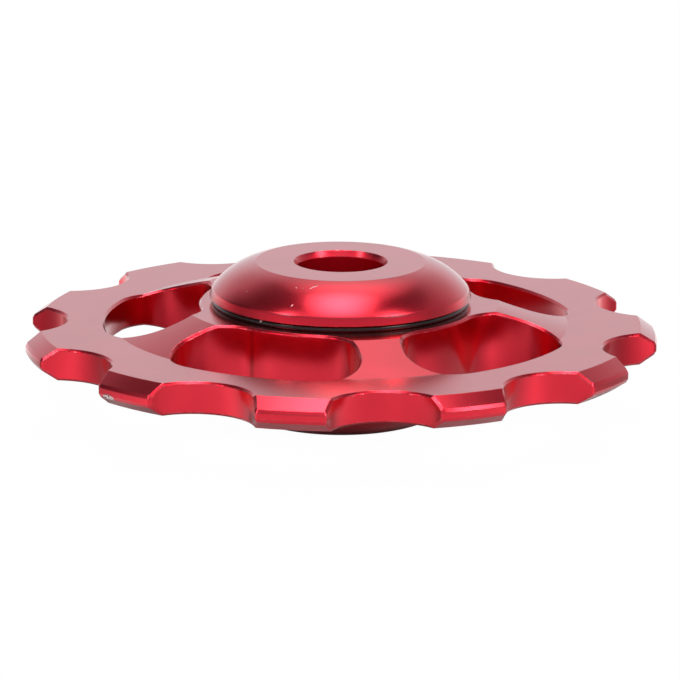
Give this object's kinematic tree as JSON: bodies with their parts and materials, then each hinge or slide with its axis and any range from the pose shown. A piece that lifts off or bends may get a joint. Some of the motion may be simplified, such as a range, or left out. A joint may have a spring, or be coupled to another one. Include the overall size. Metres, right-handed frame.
{
  "type": "derailleur jockey wheel",
  "caption": "Toothed chain guide pulley with dished spokes, a sealed ball bearing and domed dust caps round its axle bore, for the cage of a bicycle rear derailleur.",
  "frame": {"origin": "centre of the axle bore, at the wheel's mid-plane", "axes": "+Z along the axle bore, out of the upper cap; the wheel lies flat, with its front towards -Y"},
  "size_m": [0.0426, 0.043, 0.0106],
  "materials": {
    "wheel_anodised": "satin red anodised",
    "cap_anodised": "bright red anodised",
    "ring_rubber": "smooth black",
    "seal_rubber": "moulded black",
    "bearing_steel": "ground",
    "cage_steel": "pressed",
    "ball_steel": "polished"
  },
  "bodies": {
    "axle": {"upper_cap": "cap_anodised", "lower_cap": "cap_anodised", "bearing_inner_ring": "bearing_steel"},
    "wheel": {"toothed_wheel": "wheel_anodised", "bearing_outer_ring": "bearing_steel", "bearing_seal_upper": "seal_rubber", "bearing_seal_lower": "seal_rubber", "upper_seal_ring": "ring_rubber", "lower_seal_ring": "ring_rubber"},
    "ball_cage": {"cage_half_upper": "cage_steel", "cage_half_lower": "cage_steel"},
    "ball_1": {"ball_1": "ball_steel"},
    "ball_2": {"ball_2": "ball_steel"},
    "ball_3": {"ball_3": "ball_steel"},
    "ball_4": {"ball_4": "ball_steel"},
    "ball_5": {"ball_5": "ball_steel"},
    "ball_6": {"ball_6": "ball_steel"},
    "ball_7": {"ball_7": "ball_steel"},
    "ball_8": {"ball_8": "ball_steel"},
    "ball_9": {"ball_9": "ball_steel"}
  },
  "joints": [
    {"name": "wheel_spin", "type": "hinge", "parent": "axle", "child": "wheel", "pos_m": [0, 0, 0], "axis": [0, 0, 1], "continuous": true},
    {"name": "cage_spin", "type": "hinge", "parent": "axle", "child": "ball_cage", "pos_m": [0, 0, 0], "axis": [0, 0, 1], "continuous": true},
    {"name": "ball_1_spin", "type": "hinge", "parent": "ball_cage", "child": "ball_1", "pos_m": [0.006, 0, 0], "axis": [0, 0, 1], "continuous": true},
    {"name": "ball_2_spin", "type": "hinge", "parent": "ball_cage", "child": "ball_2", "pos_m": [0.0046, 0.00386, 0], "axis": [0, 0, 1], "continuous": true},
    {"name": "ball_3_spin", "type": "hinge", "parent": "ball_cage", "child": "ball_3", "pos_m": [0.00104, 0.00591, 0], "axis": [0, 0, 1], "continuous": true},
    {"name": "ball_4_spin", "type": "hinge", "parent": "ball_cage", "child": "ball_4", "pos_m": [-0.003, 0.0052, 0], "axis": [0, 0, 1], "continuous": true},
    {"name": "ball_5_spin", "type": "hinge", "parent": "ball_cage", "child": "ball_5", "pos_m": [-0.00564, 0.00205, 0], "axis": [0, 0, 1], "continuous": true},
    {"name": "ball_6_spin", "type": "hinge", "parent": "ball_cage", "child": "ball_6", "pos_m": [-0.00564, -0.00205, 0], "axis": [0, 0, 1], "continuous": true},
    {"name": "ball_7_spin", "type": "hinge", "parent": "ball_cage", "child": "ball_7", "pos_m": [-0.003, -0.0052, 0], "axis": [0, 0, 1], "continuous": true},
    {"name": "ball_8_spin", "type": "hinge", "parent": "ball_cage", "child": "ball_8", "pos_m": [0.00104, -0.00591, 0], "axis": [0, 0, 1], "continuous": true},
    {"name": "ball_9_spin", "type": "hinge", "parent": "ball_cage", "child": "ball_9", "pos_m": [0.0046, -0.00386, 0], "axis": [0, 0, 1], "continuous": true}
  ],
  "couplings": [
    {"joint": "cage_spin", "follows": "wheel_spin", "ratio": 0.58333},
    {"joint": "ball_1_spin", "follows": "wheel_spin", "ratio": 2.9167},
    {"joint": "ball_2_spin", "follows": "wheel_spin", "ratio": 2.9167},
    {"joint": "ball_3_spin", "follows": "wheel_spin", "ratio": 2.9167},
    {"joint": "ball_4_spin", "follows": "wheel_spin", "ratio": 2.9167},
    {"joint": "ball_5_spin", "follows": "wheel_spin", "ratio": 2.9167},
    {"joint": "ball_6_spin", "follows": "wheel_spin", "ratio": 2.9167},
    {"joint": "ball_7_spin", "follows": "wheel_spin", "ratio": 2.9167},
    {"joint": "ball_8_spin", "follows": "wheel_spin", "ratio": 2.9167},
    {"joint": "ball_9_spin", "follows": "wheel_spin", "ratio": 2.9167}
  ]
}
